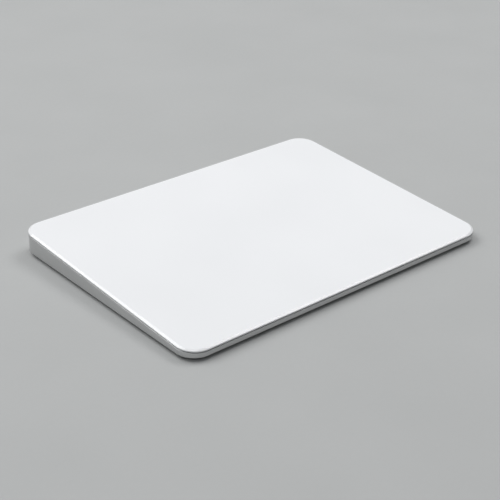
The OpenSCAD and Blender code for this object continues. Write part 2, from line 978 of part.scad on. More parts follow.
module radio_shield() {
    color([0.7, 0.71, 0.72])
        translate(radio_at)
            cube(radio_size);
}

// Bent strip standing on a feed leg and a ground leg
module antenna() {
    color([0.8, 0.6, 0.3])
        translate([antenna_edge - io_left, io_y, io_top]) {
            box([0, -antenna_size[1] / 2, antenna_size[2] - antenna_t],
                [antenna_size[0], antenna_size[1] / 2, antenna_size[2]]);
            for (x = antenna_legs)
                box([x, -antenna_leg_w / 2, 0], [x + antenna_t, antenna_leg_w / 2, antenna_size[2]]);
        }
}

// Port

module port_shell() {
    color([0.7, 0.71, 0.72])
        difference() {
            along_y(0, port_y0, port_y1, port_z)
                stadium(port_w, port_h);
            along_y(0, port_y0 + port_back, port_y1 + over, port_z)
                stadium(port_w - 2 * port_skin, port_h - 2 * port_skin);
        }
}

module port_tongue() {
    color([0.1, 0.1, 0.11])
        along_y(0, port_y0 + port_back, port_y0 + port_back + tongue_l, port_z)
            square([tongue_w, tongue_t], center = true);
}

module port_contacts() {
    color([0.85, 0.7, 0.35])
        for (i = [0:contact_count - 1], s = [-1, 1])
            translate([
                (i - (contact_count - 1) / 2) * contact_pitch - contact_w / 2,
                port_y0 + port_back + tongue_l - contact_l - contact_in,
                port_z + s * (tongue_t + contact_t) / 2 - contact_t / 2])
                cube([contact_w, contact_l, contact_t]);
}

// Switch

module switch_body() {
    color([0.14, 0.14, 0.15])
        difference() {
            box([switch_x - switch_w / 2, switch_y0, io_top],
                [switch_x + switch_w / 2, switch_y1, io_top + switch_h]);
            along_y(switch_x, switch_y1 - lever_in - fit, switch_y1 + over, port_z)
                square([lever_w + switch_travel + 2 * fit, lever_h + 2 * fit], center = true);
        }
}

module switch_lever() {
    color([0.2, 0.2, 0.21])
        along_y(knob_off_x, switch_y1 - lever_in, flange_y1 - fit, port_z)
            square([lever_w, lever_h], center = true);
}

// Finger pad in the pocket, a neck through the wall, and a flange that takes the lever and closes the slot
module switch_knob() {
    pad_y0 = back_out - pocket_deep + knob_gap;
    color([0.8, 0.81, 0.82])
        difference() {
            union() {
                along_y(knob_off_x, pad_y0, pad_y0 + knob_t, port_z)
                    stadium(knob_w, knob_h);
                along_y(knob_off_x, flange_y1 - fit, pad_y0 + knob_t / 2, port_z)
                    square([neck_w, neck_h], center = true);
                along_y(knob_off_x, flange_y0, flange_y1, port_z)
                    square([flange_w, flange_h], center = true);
            }
            along_y(knob_off_x, flange_y0 - over, flange_y1 - fit + touch, port_z)
                square([lever_w + 2 * fit, lever_h + 2 * fit], center = true);
            for (i = [0:knob_grooves - 1])
                along_y(knob_off_x + (i - (knob_grooves - 1) / 2) * 2 * knob_groove_w,
                    pad_y0 + knob_t / 2, pad_y0 + knob_t + over, port_z)
                    square([knob_groove_w, knob_h - 2 * knob_groove_w], center = true);
        }
}

// Coloured dot that the knob uncovers when it is on
module switch_marker() {
    color([0.2, 0.65, 0.3])
        along_y(marker_x, back_out - pocket_deep, back_out - pocket_deep + marker_t, port_z)
            circle(d = marker_d);
}

lower_case();
foot(-1, -1);  // foot_front_left
foot(1, -1);  // foot_front_right
foot(-1, 1);  // foot_back_left
foot(1, 1);  // foot_back_right
cover_glass();
bond_film();
sensor_board();
plate_stiffener();
touch_controller();
sensor_connector();
armature_plate();
gel_pad(-1, -1);  // gel_pad_front_left
gel_pad(1, -1);  // gel_pad_front_right
gel_pad(-1, 1);  // gel_pad_back_left
gel_pad(1, 1);  // gel_pad_back_right
flexure(-1, -1);  // flexure_front_left
flexure(1, -1);  // flexure_front_right
flexure(-1, 1);  // flexure_back_left
flexure(1, 1);  // flexure_back_right
strain_gauge(-1, -1);  // strain_gauge_front_left
strain_gauge(1, -1);  // strain_gauge_front_right
strain_gauge(-1, 1);  // strain_gauge_back_left
strain_gauge(1, 1);  // strain_gauge_back_right
flexure_screws();
gauge_flex(-1, left_pin_x + pin_w, gauge_left_y);  // gauge_flex_left
gauge_flex(1, right_pin_x, gauge_right_y);  // gauge_flex_right
haptic_bracket();
haptic_core(-1);  // haptic_core_left
haptic_core(1);  // haptic_core_right
haptic_coil(-1);  // haptic_coil_left
haptic_coil(1);  // haptic_coil_right
haptic_screws();
haptic_flex();
battery_cell();
battery_tape();
battery_board();
battery_lead();
logic_board();
logic_processor();
logic_power_chip();
logic_connectors();
logic_screws();
sensor_flex();
io_board();
io_connector();
io_flex();
io_screws();
charge_chip();
radio_shield();
antenna();
port_shell();
port_tongue();
port_contacts();
switch_body();
switch_lever();
switch_knob();
switch_marker();
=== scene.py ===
"""Looks of a wireless trackpad: a white glass touch plate on a low metal wedge case.

Named lengths are millimetres, as in the part's source. They become metres where a piece is made.
Names that end in U, V or N are places in the plate's tilted frame, which in_plate() explains.
"""

import math

import bmesh
import bpy
from mathutils import Matrix, Vector


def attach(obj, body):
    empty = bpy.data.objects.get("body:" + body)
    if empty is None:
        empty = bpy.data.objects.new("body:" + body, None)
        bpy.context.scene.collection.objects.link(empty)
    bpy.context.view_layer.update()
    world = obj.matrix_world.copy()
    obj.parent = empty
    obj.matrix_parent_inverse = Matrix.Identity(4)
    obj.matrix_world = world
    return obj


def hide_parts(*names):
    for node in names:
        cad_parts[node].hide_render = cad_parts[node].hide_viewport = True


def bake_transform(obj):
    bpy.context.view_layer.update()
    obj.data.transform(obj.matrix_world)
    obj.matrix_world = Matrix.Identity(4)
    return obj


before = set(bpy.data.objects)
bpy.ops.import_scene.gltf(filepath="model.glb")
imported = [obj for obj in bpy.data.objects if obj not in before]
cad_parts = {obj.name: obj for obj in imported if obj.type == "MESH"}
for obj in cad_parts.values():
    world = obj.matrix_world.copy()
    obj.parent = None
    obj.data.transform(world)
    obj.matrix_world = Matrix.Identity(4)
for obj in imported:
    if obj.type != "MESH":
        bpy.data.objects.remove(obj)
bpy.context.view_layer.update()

MM = 0.001

# Overall
BODY_W = 160.0
BODY_D = 114.9
FRONT_H = 4.9
BACK_H = 10.9
CORNER_R = 8.6
TILT = math.atan((BACK_H - FRONT_H) / BODY_D)
MID_H = (FRONT_H + BACK_H) / 2
PLATE_D = round(BODY_D / math.cos(TILT), 3)

# The four corners, with the way to each along x and y
CORNERS = {"front_left": (-1, -1), "front_right": (1, -1), "back_left": (-1, 1), "back_right": (1, 1)}

# Glass, with heights measured from the touch surface
GLASS_T = 1.0
GLASS_IN = 0.9
GLASS_LAND = 0.55
GLASS_SOFT = 0.3
GLASS_LOWER_SOFT = 0.04

# Case
CASE_WALL = 1.2
CASE_UNDER = 0.7
CASE_FLOOR = 1.5
UNDER_UP = 1.0
UNDER_IN = 1.2
RIM_BEVEL = 0.1
RIM_N = -1.35
EDGE_SOFT = 0.08
BACK_OUT = BODY_D / 2
BACK_IN = BACK_OUT - CASE_WALL

# Round posts inside the case: upright ones, with the height of their tops, and ones square to the plate
POST_D = 4.5
HOLE_D = 1.6
HOLE_DEEP = 1.0
BOSS_SINK = 0.4
UPRIGHT_POSTS = (
    (33.5, -21.35, 2.4),
    (56.5, -21.35, 2.4),
    (33.5, 13.65, 2.4),
    (-21.0, 52.25, 2.72),
    (20.0, 52.25, 2.72))
TILTED_POSTS = ((-26.5, 1.45), (-26.5, 9.45), (26.5, 1.45), (26.5, 9.45))
TILTED_POST_N = -5.734

# Blocks inside the case, to which the roots of the flexures are screwed
ROOT_U = 73.6
ROOT_V = 44.03
ROOT_N = -3.3
ROOT_W = 8.0
ROOT_D = 11.0
ROOT_HOLE_U = 0.7
ROOT_HOLE_V = 3.2

# Flexures and their gauges, which bend between root and tip: node's name, piece's ending and slot
BENT_PIECES = (("flexure", "spring", "spring_steel"), ("strain_gauge", "strip", "flex_amber"))
BEND_FROM = 69.6
BEND_TO = 60.1
BEND_CUTS = 10

# Gel pads on the flexures' tips
PAD_U = 55.6
PAD_D = 7.0
PAD_LOW_N = -2.9
PAD_TOP_N = -2.1
PAD_ROUND = 0.3
PAD_CLEAR = 0.01

# Feet
FOOT_D = 11.0
FOOT_TOP = 1.0
FOOT_IN = 15.0
FOOT_ROUND = 0.25
FOOT_GAP = 0.1

# Port
PORT_Z = 5.1
PORT_W = 8.94
PORT_H = 3.16
PORT_SKIN = 0.3
PORT_BACK_ROUND = 0.15
PORT_LIP_ROUND = 0.135
PORT_GAP = 0.15
PORT_Y0 = 49.7
PORT_Y1 = 57.0
PORT_BACK = 0.8
TONGUE_W = 6.69
TONGUE_T = 0.7
TONGUE_L = 5.5
TONGUE_ROUND = 0.15
MOUTH_BEVEL = 0.12

# Switch, at rest, which is off
SWITCH_X = 35.0
SWITCH_TRAVEL = 2.5
POCKET_W = 8.3
POCKET_H = 3.0
POCKET_DEEP = 0.5
KNOB_X = SWITCH_X - SWITCH_TRAVEL / 2
KNOB_W = 5.4
KNOB_H = 2.6
KNOB_T = 0.3
KNOB_GAP = 0.15
KNOB_ROUND = 0.08
GROOVES = 3
GROOVE_W = 0.4
GROOVE_DEEP = 0.15
NECK_W = 2.4
NECK_H = 1.2
SLOT_FIT = 0.1
FLANGE_W = 8.0
FLANGE_H = 2.4
FLANGE_Y0 = 55.35
FLANGE_Y1 = 56.15
LEVER_W = 1.5
LEVER_H = 1.2

# Mesh fineness
CORNER_STEPS = 24
ROUND_STEPS = 6
CIRCLE_STEPS = 72
STADIUM_STEPS = 20
GUARD = 0.3  # how far a flat runs on past a rounding before its next point
SHARP = math.radians(32)  # an edge that turns more than this isn't smoothed
FLAT_FACE = 0.995  # a face of the glass is flat if the z of its normal is above this
OVER = 1.0  # how far a cutter runs past what it cuts
JOIN = 0.0005  # points closer than this are one

# Textures
NOISE_LOW = 0.3  # most of a noise lies above this
NOISE_HIGH = 0.7  # and below this
STRIPE_PHASE = 20.0  # how far the wave texture's phase goes on in one unit of length
STREAK_SCALE = (0.06, 1.0, 1.0)  # makes a grain long along x
MASK_FIELD = 3.0  # width of the fields between a board's copper lines

# Floor
FLOOR_SIZE = 30000.0
FLOOR_T = 10.0
FLOOR_DARK = (0.395, 0.4, 0.395)
FLOOR_LIGHT = (0.41, 0.415, 0.41)

# Lamps: place, width and power of each, all aimed at the middle of the floor
LAMP_TARGET = (0.0, 0.0, 0.0)
LAMPS = {
    "back_light": ((-450.0, 720.0, 1140.0), 1050.0, 9.6),
    "right_light": ((820.0, 40.0, 1140.0), 760.0, 6.4),
    "top_light": ((0.0, 0.0, 1400.0), 600.0, 1.5),
    "left_light": ((-1100.0, 600.0, 350.0), 400.0, 0.75)}

# Dome of soft light, brightest towards one direction
DOME_LOW = (0.095, 0.097, 0.1, 1.0)
DOME_HIGH = (0.95, 0.97, 1.0, 1.0)
DOME_FULL_AT = 0.9
DOME_UP = (-0.24, 0.13, 0.962)
DOME_STRENGTH = 0.65

# Camera, from the photograph's outline
CAMERA_AT = (-313.9, -358.3, 252.4)
CAMERA_TO = (-10.84, -9.52, 4.92)
CAMERA_ROLL = math.radians(1.136)
CAMERA_LENS = 90.6
CAMERA_SENSOR = 36.0


# Points of outlines and profiles

def outline(width, depth, radius):
    """Points around a rectangle with round corners. Each straight side has a point close to either end,
    which keeps its shading flat."""
    points = []
    for turn, side_x, side_y in ((-90, 1, -1), (0, 1, 1), (90, -1, 1), (180, -1, -1)):
        middle = Vector((side_x * (width / 2 - radius), side_y * (depth / 2 - radius)))
        for step in range(-1, CORNER_STEPS + 2):
            inside = min(max(step, 0), CORNER_STEPS)
            angle = math.radians(turn + 90 * inside / CORNER_STEPS)
            point = middle + radius * Vector((math.cos(angle), math.sin(angle)))
            point += (step - inside) * GUARD * Vector((-math.sin(angle), math.cos(angle)))
            points.append(point)
    return points


def stadium(width, height):
    """Points around a bar with half-round ends."""
    points = []
    for side in (1, -1):
        middle = Vector((side * (width - height) / 2, 0))
        for step in range(STADIUM_STEPS + 1):
            angle = math.radians(-90 + 180 * step / STADIUM_STEPS)
            points.append(middle + side * height / 2 * Vector((math.cos(angle), math.sin(angle))))
    return points


def circle(radius):
    """Points around a circle."""
    turns = [2 * math.pi * step / CIRCLE_STEPS for step in range(CIRCLE_STEPS)]
    return [radius * Vector((math.cos(turn), math.sin(turn))) for turn in turns]


def rectangle(width, height):
    """Corners of a rectangle."""
    return [Vector((x * width / 2, y * height / 2)) for x, y in ((-1, -1), (1, -1), (1, 1), (-1, 1))]


def soften(profile):
    """Rounds a profile's corners. Each entry is an inset, a height or depth, and the corner's radius."""
    points = [Vector(profile[0][:2])]
    for before, here, after in zip(profile, profile[1:], profile[2:]):
        corner, radius = Vector(here[:2]), here[2]
        if radius == 0:
            points.append(corner)
            continue
        to_before = (Vector(before[:2]) - corner).normalized()
        to_after = (Vector(after[:2]) - corner).normalized()
        half = to_before.angle(to_after) / 2
        reach = radius / math.tan(half)
        centre = corner + (to_before + to_after).normalized() * radius / math.sin(half)
        first = corner + to_before * reach - centre
        last = corner + to_after * reach - centre
        for step in range(ROUND_STEPS + 1):
            points.append(centre + radius * first.slerp(last, step / ROUND_STEPS))
    points.append(Vector(profile[-1][:2]))
    return points


# Places

def in_plate(u, v, n):
    """A point of the tilted frame: u across, v up the slope, and n up from the touch surface."""
    y = v * math.cos(TILT) - n * math.sin(TILT)
    z = MID_H + v * math.sin(TILT) + n * math.cos(TILT)
    return Vector((u, y, z))


def rim_height(y):
    """Height of the case's rim at a depth."""
    return MID_H + y * math.tan(TILT) + RIM_N / math.cos(TILT)


def plate_floor(v):
    """Height in the tilted frame of a point a little below the case's inner floor."""
    return (CASE_FLOOR - BOSS_SINK - MID_H - v * math.sin(TILT)) / math.cos(TILT)


def facing_back(points, x, y, z):
    """A ring parallel to the back wall, about a middle."""
    return [Vector((x + point.x, y, z + point.y)) for point in points]


def lying(points, x, y, z):
    """A level ring about a middle."""
    return [Vector((x + point.x, y + point.y, z)) for point in points]


def tilted_ring(points, u, v, n):
    """A ring parallel to the plate, about a middle in the tilted frame."""
    return [in_plate(u + point.x, v + point.y, n) for point in points]


# Meshes

def to_object(name, built):
    """A finished bmesh as an object of the scene."""
    mesh = bpy.data.meshes.new(name)
    built.to_mesh(mesh)
    built.free()
    piece = bpy.data.objects.new(name, mesh)
    bpy.context.scene.collection.objects.link(piece)
    return piece


def make(name, lofts):
    """One object from lofts. A loft is a list of rings with as many points each, closed at both ends."""
    built = bmesh.new()
    for rings in lofts:
        rows = [[built.verts.new(point * MM) for point in ring] for ring in rings]
        for lower, upper in zip(rows, rows[1:]):
            for here in range(len(lower)):
                after = (here + 1) % len(lower)
                built.faces.new((lower[here], lower[after], upper[after], upper[here]))
        built.faces.new(rows[0])
        built.faces.new(rows[-1])
    bmesh.ops.recalc_face_normals(built, faces=built.faces)
    return to_object(name, built)


def bendable(name, node, start, end):
    """A copy of a CAD node with its split corners joined, cut across between two points to bend there."""
    built = bmesh.new()
    built.from_mesh(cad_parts[node].data)
    bmesh.ops.remove_doubles(built, verts=built.verts, dist=JOIN * MM)
    for step in range(BEND_CUTS + 1):
        everything = built.verts[:] + built.edges[:] + built.faces[:]
        place = start.lerp(end, step / BEND_CUTS)
        bmesh.ops.bisect_plane(built, geom=everything, dist=JOIN * MM, plane_co=place, plane_no=end - start)
    return to_object(name, built)


def combine(piece, lofts, operation):
    """Cuts lofts out of a piece, or joins them to it."""
    for rings in lofts:
        tool = make("tool", [rings])
        step = piece.modifiers.new("step", "BOOLEAN")
        step.operation = operation
        step.solver = "EXACT"
        step.object = tool
        graph = bpy.context.evaluated_depsgraph_get()
        mesh = bpy.data.meshes.new_from_object(piece.evaluated_get(graph))
        piece.modifiers.clear()
        used = [piece.data, tool.data]
        piece.data = mesh
        bpy.data.objects.remove(tool)
        for old in used:
            bpy.data.meshes.remove(old)


def shade(piece, look, slot, *nodes):
    """Smooths a finished piece, gives it its look and puts it in place of CAD nodes."""
    mesh = piece.data
    mesh.name = piece.name
    mesh.polygons.foreach_set("use_smooth", [True] * len(mesh.polygons))
    mesh.set_sharp_from_angle(angle=SHARP)
    mesh.materials.clear()
    mesh.materials.append(look)
    if nodes:
        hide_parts(*nodes)


def dress(piece, look, body, slot, *nodes):
    """Finishes a piece that rides on one body."""
    shade(piece, look, slot, *nodes)
    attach(piece, body)


# Looks

def set_sockets(node, values):
    """Sets a node's inputs. An underscore in a name stands for a space."""
    for socket, value in values.items():
        node.inputs[socket.replace("_", " ")].default_value = value


class Look:
    """A node material, built from textures in the object's own space."""

    def __init__(self, name, **values):
        self.material = bpy.data.materials.new(name)
        self.material.use_nodes = True
        self.tree = self.material.node_tree
        self.shader = self.tree.nodes["Principled BSDF"]
        self.place = self.tree.nodes.new("ShaderNodeTexCoord").outputs["Object"]
        set_sockets(self.shader, values)

    def add(self, kind, links, **values):
        """A node with its inputs linked or set."""
        node = self.tree.nodes.new(kind)
        set_sockets(node, values)
        for socket, source in links.items():
            self.tree.links.new(source, node.inputs[socket])
        return node

    def noise(self, size, detail=3.0):
        """Cloudy grain of a size in millimetres."""
        node = self.add("ShaderNodeTexNoise", {"Vector": self.place}, Scale=1 / (size * MM), Detail=detail)
        return node.outputs["Fac"]

    def bands(self, size, axis):
        """Even stripes of a width in millimetres, across an axis."""
        scale = math.tau / STRIPE_PHASE / (size * MM)
        node = self.add("ShaderNodeTexWave", {"Vector": self.place}, Scale=scale)
        node.bands_direction = axis
        return node.outputs["Fac"]

    def colours(self, source, first, second, low=NOISE_LOW, high=NOISE_HIGH):
        """Base colour that goes from a first to a second colour as a texture goes from low to high."""
        node = self.add("ShaderNodeValToRGB", {"Fac": source})
        node.color_ramp.elements[0].position = low
        node.color_ramp.elements[0].color = (*first, 1)
        node.color_ramp.elements[1].position = high
        node.color_ramp.elements[1].color = (*second, 1)
        self.tree.links.new(node.outputs["Color"], self.shader.inputs["Base Color"])

    def roughness(self, source, smooth, rough):
        """Roughness between two values, by a texture."""
        node = self.add(
            "ShaderNodeMapRange", {"Value": source},
            From_Min=NOISE_LOW, From_Max=NOISE_HIGH, To_Min=smooth, To_Max=rough)
        self.tree.links.new(node.outputs["Result"], self.shader.inputs["Roughness"])

    def relief(self, source, height):
        """Fine relief of a height in millimetres."""
        node = self.add("ShaderNodeBump", {"Height": source}, Strength=1.0, Distance=height * MM)
        self.tree.links.new(node.outputs["Normal"], self.shader.inputs["Normal"])


def blasted_metal(name, dark, light, grain, smooth, rough):
    """Bead-blasted aluminium: a fine even grain, and a faint cloud over larger areas."""
    look = Look(name, Metallic=1.0)
    look.colours(look.noise(size=14.0, detail=2.0), dark, light)
    look.roughness(look.noise(size=grain * 3), smooth, rough)
    look.relief(look.noise(size=grain), height=0.006)
    return look.material


def etched_glass(name):
    """White-backed glass with a fine etched face."""
    look = Look(name, IOR=1.5)
    clouds = look.noise(size=45.0, detail=1.0)
    look.colours(clouds, (0.762, 0.767, 0.775), (0.782, 0.787, 0.795))
    look.roughness(look.noise(size=12.0), smooth=0.54, rough=0.56)
    look.relief(look.noise(size=0.25), height=0.0006)
    return look.material


def polished_glass_painted_lighter(name):
    """The same glass where its bevel is polished, smoother than the etched face. Its colour is a little
    lighter than the face's: painted light on the bevel.
    """
    look = Look(name, IOR=1.5)
    clouds = look.noise(size=45.0, detail=1.0)
    # a little lighter than the etched face's colours: painted light that brightens the bevel
    look.colours(clouds, (0.8, 0.805, 0.81), (0.82, 0.825, 0.83))
    look.roughness(look.noise(size=6.0), smooth=0.08, rough=0.12)
    return look.material


def moulded(name, dark, light, grain, smooth, rough, relief):
    """Moulded plastic or rubber with a fine grain."""
    look = Look(name)
    look.colours(look.noise(size=grain * 8), dark, light)
    look.roughness(look.noise(size=grain * 2), smooth, rough)
    look.relief(look.noise(size=grain), height=relief)
    return look.material


def rolled_metal(name, dark, light, grain, smooth, rough):
    """Rolled, drawn or plated metal, with streaks along x."""
    look = Look(name, Metallic=1.0)
    stretch = look.add("ShaderNodeMapping", {"Vector": look.place}, Scale=STREAK_SCALE)
    look.place = stretch.outputs["Vector"]
    look.colours(look.noise(size=grain * 4), dark, light)
    streaks = look.noise(size=grain)
    look.roughness(streaks, smooth, rough)
    look.relief(streaks, height=0.003)
    return look.material


def solder_mask(name):
    """Green circuit board with paler copper lines under the mask."""
    look = Look(name)
    cells = look.add("ShaderNodeTexVoronoi", {"Vector": look.place}, Scale=1 / (MASK_FIELD * MM))
    cells.feature = "DISTANCE_TO_EDGE"
    cells.distance = "MANHATTAN"
    edges = cells.outputs["Distance"]
    look.colours(edges, (0.012, 0.075, 0.035), (0.006, 0.035, 0.02), low=0.04, high=0.1)
    look.roughness(look.noise(size=0.6), smooth=0.3, rough=0.42)
    look.relief(edges, height=0.02)
    return look.material


def wound_copper(name):
    """Enamelled wire in close turns, with painted shade in the grooves between them."""
    look = Look(name, Metallic=1.0)
    turns = look.bands(size=0.25, axis="Z")
    # the colour darkens into the grooves between the turns: painted shade
    look.colours(turns, (0.3, 0.11, 0.045), (0.62, 0.27, 0.12))
    look.roughness(look.noise(size=0.4), smooth=0.25, rough=0.4)
    look.relief(turns, height=0.08)
    return look.material


def film_flex(name):
    """Amber film with fine copper lines."""
    look = Look(name)
    lines = look.bands(size=0.5, axis="X")
    look.colours(lines, (0.3, 0.11, 0.012), (0.46, 0.19, 0.03), low=0.45, high=0.55)
    look.roughness(look.noise(size=0.8), smooth=0.25, rough=0.4)
    look.relief(lines, height=0.02)
    return look.material


def pouch_foil(name):
    """Battery pouch: dull foil with soft creases."""
    look = Look(name, Metallic=1.0)
    look.colours(look.noise(size=9.0), (0.1, 0.105, 0.11), (0.16, 0.165, 0.175))
    look.roughness(look.noise(size=1.5), smooth=0.4, rough=0.55)
    look.relief(look.noise(size=5.0), height=0.12)
    return look.material


def clear_gel(name):
    """Soft clear gel."""
    look = Look(name, Transmission_Weight=0.6, IOR=1.41)
    ripples = look.noise(size=0.5)
    look.colours(look.noise(size=2.0), (0.5, 0.58, 0.62), (0.6, 0.68, 0.71))
    look.roughness(ripples, smooth=0.12, rough=0.22)
    look.relief(ripples, height=0.01)
    return look.material


def floor_paper(name):
    """Pale paper under the object."""
    look = Look(name)
    look.colours(look.noise(size=60.0), FLOOR_DARK, FLOOR_LIGHT)
    look.roughness(look.noise(size=2.0), smooth=0.7, rough=0.8)
    return look.material


case_metal = blasted_metal(
    "case_metal_look", dark=(0.58, 0.585, 0.582), light=(0.62, 0.625, 0.622),
    grain=0.12, smooth=0.4, rough=0.48)
knob_metal = blasted_metal(
    "knob_metal_look", dark=(0.7, 0.705, 0.71), light=(0.75, 0.755, 0.76),
    grain=0.08, smooth=0.3, rough=0.38)
white_glass = etched_glass("white_glass_look")
glass_edge = polished_glass_painted_lighter("glass_edge_look")
foot_rubber = moulded(
    "foot_rubber_look", dark=(0.045, 0.045, 0.047), light=(0.06, 0.06, 0.062),
    grain=0.2, smooth=0.65, rough=0.8, relief=0.02)
chip_black = moulded(
    "chip_black_look", dark=(0.008, 0.008, 0.009), light=(0.016, 0.016, 0.017),
    grain=0.15, smooth=0.4, rough=0.55, relief=0.01)
port_steel = rolled_metal(
    "port_steel_look", dark=(0.5, 0.505, 0.51), light=(0.6, 0.605, 0.61),
    grain=0.2, smooth=0.25, rough=0.38)

# The look of each of the record's material slots. CAD nodes take theirs in the loop below
CAD_LOOKS = {
    "case_metal": case_metal,
    "white_glass": white_glass,
    "foot_rubber": foot_rubber,
    "clear_film": moulded(
        "clear_film_look", dark=(0.66, 0.66, 0.62), light=(0.74, 0.74, 0.71),
        grain=0.4, smooth=0.2, rough=0.35, relief=0.004),
    "circuit_board": solder_mask("circuit_board_look"),
    "stiffener_sheet": rolled_metal(
        "stiffener_look", dark=(0.5, 0.52, 0.54), light=(0.6, 0.62, 0.64),
        grain=0.3, smooth=0.3, rough=0.45),
    "chip_black": chip_black,
    "connector_tan": moulded(
        "connector_look", dark=(0.5, 0.43, 0.3), light=(0.6, 0.53, 0.39),
        grain=0.15, smooth=0.4, rough=0.55, relief=0.008),
    "magnetic_steel": rolled_metal(
        "magnetic_steel_look", dark=(0.2, 0.21, 0.22), light=(0.3, 0.31, 0.32),
        grain=0.25, smooth=0.4, rough=0.55),
    "spring_steel": rolled_metal(
        "spring_steel_look", dark=(0.45, 0.46, 0.48), light=(0.56, 0.57, 0.6),
        grain=0.2, smooth=0.25, rough=0.38),
    "gel_clear": clear_gel("gel_look"),
    "flex_amber": film_flex("flex_look"),
    "copper_winding": wound_copper("winding_look"),
    "battery_foil": pouch_foil("pouch_look"),
    "foam_tape": moulded(
        "foam_look", dark=(0.008, 0.008, 0.009), light=(0.02, 0.02, 0.021),
        grain=0.3, smooth=0.8, rough=0.95, relief=0.06),
    "screw_steel": rolled_metal(
        "screw_look", dark=(0.2, 0.2, 0.22), light=(0.3, 0.3, 0.32),
        grain=0.15, smooth=0.25, rough=0.4),
    "port_steel": port_steel,
    "contact_gold": rolled_metal(
        "contact_look", dark=(0.6, 0.4, 0.1), light=(0.75, 0.53, 0.18),
        grain=0.1, smooth=0.2, rough=0.3),
    "knob_metal": knob_metal,
    "marker_green": moulded(
        "marker_look", dark=(0.02, 0.28, 0.05), light=(0.03, 0.36, 0.07),
        grain=0.1, smooth=0.35, rough=0.45, relief=0.004),
}
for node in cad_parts.values():
    for index, given in enumerate(node.data.materials):
        node.material_slots[index].material = CAD_LOOKS[given.name]


# Glass

def glass_ring(inset, n):
    """The plate's outline, inset and at a height in the tilted frame."""
    points = outline(BODY_W - 2 * inset, PLATE_D - 2 * inset, CORNER_R - inset)
    return tilted_ring(points, 0, 0, n)


glass_profile = soften([
    (GUARD * 2, -GLASS_T, 0),
    (0, -GLASS_T, GLASS_LOWER_SOFT),
    (0, GLASS_LAND - GLASS_T, GLASS_LOWER_SOFT),
    (GLASS_IN, 0, GLASS_SOFT),
    (GLASS_IN + GLASS_SOFT + GUARD, 0, 0)])
glass = make("cover_glass_plate", [[glass_ring(point.x, point.y) for point in glass_profile]])
dress(glass, white_glass, "touch_plate", "white_glass", "cover_glass")
glass.data.materials.append(glass_edge)
for face in glass.data.polygons:
    face.material_index = 0 if abs(face.normal.z) > FLAT_FACE else 1


# Case

def case_ring(inset, height):
    """The case's outline, inset and at a height that may follow the depth."""
    points = outline(BODY_W - 2 * inset, BODY_D - 2 * inset, CORNER_R - inset)
    return [Vector((point.x, point.y, height(point.y))) for point in points]


lower_profile = soften([
    (UNDER_IN + GUARD, CASE_UNDER, 0),
    (UNDER_IN, CASE_UNDER, EDGE_SOFT),
    (0, CASE_UNDER + UNDER_UP, EDGE_SOFT),
    (0, CASE_UNDER + UNDER_UP + GUARD, 0)])
upper_profile = soften([
    (0, -RIM_BEVEL - EDGE_SOFT - GUARD, 0),
    (0, -RIM_BEVEL, EDGE_SOFT),
    (RIM_BEVEL, 0, EDGE_SOFT),
    (CASE_WALL, 0, EDGE_SOFT),
    (CASE_WALL, -EDGE_SOFT - GUARD, 0)])
case_rings = [case_ring(point.x, lambda y: point.y) for point in lower_profile]
case_rings += [case_ring(point.x, lambda y: rim_height(y) + point.y) for point in upper_profile]
case_rings.append(case_ring(CASE_WALL, lambda y: CASE_FLOOR))
case = make("case_shell", [case_rings])


def mouth(points_of, width, height, x, y_in):
    """Cutter for an opening in the back face, with a fine bevel at its mouth."""
    sections = (
        (0, y_in),
        (0, BACK_OUT - MOUTH_BEVEL),
        (MOUTH_BEVEL, BACK_OUT),
        (MOUTH_BEVEL, BACK_OUT + OVER))
    return [
        facing_back(points_of(width + 2 * wider, height + 2 * wider), x, y, PORT_Z)
        for wider, y in sections]


def slot_cutter():
    """Cutter for the slot in which the switch's neck slides."""
    points = rectangle(NECK_W + SWITCH_TRAVEL + 2 * SLOT_FIT, NECK_H + 2 * SLOT_FIT)
    ends = (BACK_IN - OVER, BACK_OUT - POCKET_DEEP + SLOT_FIT)
    return [facing_back(points, SWITCH_X, y, PORT_Z) for y in ends]


def foot_recess(x, y):
    """Cutter for the recess that a foot sits in."""
    points = circle(FOOT_D / 2 + FOOT_GAP)
    return [lying(points, x, y, z) for z in (CASE_UNDER - OVER, FOOT_TOP)]


foot_places = {
    f"foot_{corner}": (way_x * (BODY_W / 2 - FOOT_IN), way_y * (BODY_D / 2 - FOOT_IN))
    for corner, (way_x, way_y) in CORNERS.items()}
combine(case, [foot_recess(*place) for place in foot_places.values()], "DIFFERENCE")
combine(case, [
    mouth(stadium, PORT_W + 2 * PORT_GAP, PORT_H + 2 * PORT_GAP, 0, BACK_IN - OVER),
    mouth(stadium, POCKET_W, POCKET_H, SWITCH_X, BACK_OUT - POCKET_DEEP),
    slot_cutter()], "DIFFERENCE")
dress(case, case_metal, "base", "case_metal", "lower_case")


# Posts and blocks inside the case

def post_profile(top, bottom):
    """Radius and height around a post with a screw hole in its top."""
    return (
        (POST_D / 2, bottom),
        (POST_D / 2, top - EDGE_SOFT),
        (POST_D / 2 - EDGE_SOFT, top),
        (HOLE_D / 2, top),
        (HOLE_D / 2, top - HOLE_DEEP))


posts = []
for x, y, top in UPRIGHT_POSTS:
    profile = post_profile(top, CASE_FLOOR - BOSS_SINK)
    posts.append([lying(circle(radius), x, y, z) for radius, z in profile])
for u, v in TILTED_POSTS:
    profile = post_profile(TILTED_POST_N, plate_floor(v))
    posts.append([tilted_ring(circle(radius), u, v, n) for radius, n in profile])
dress(make("case_bosses", posts), case_metal, "base", "case_metal")

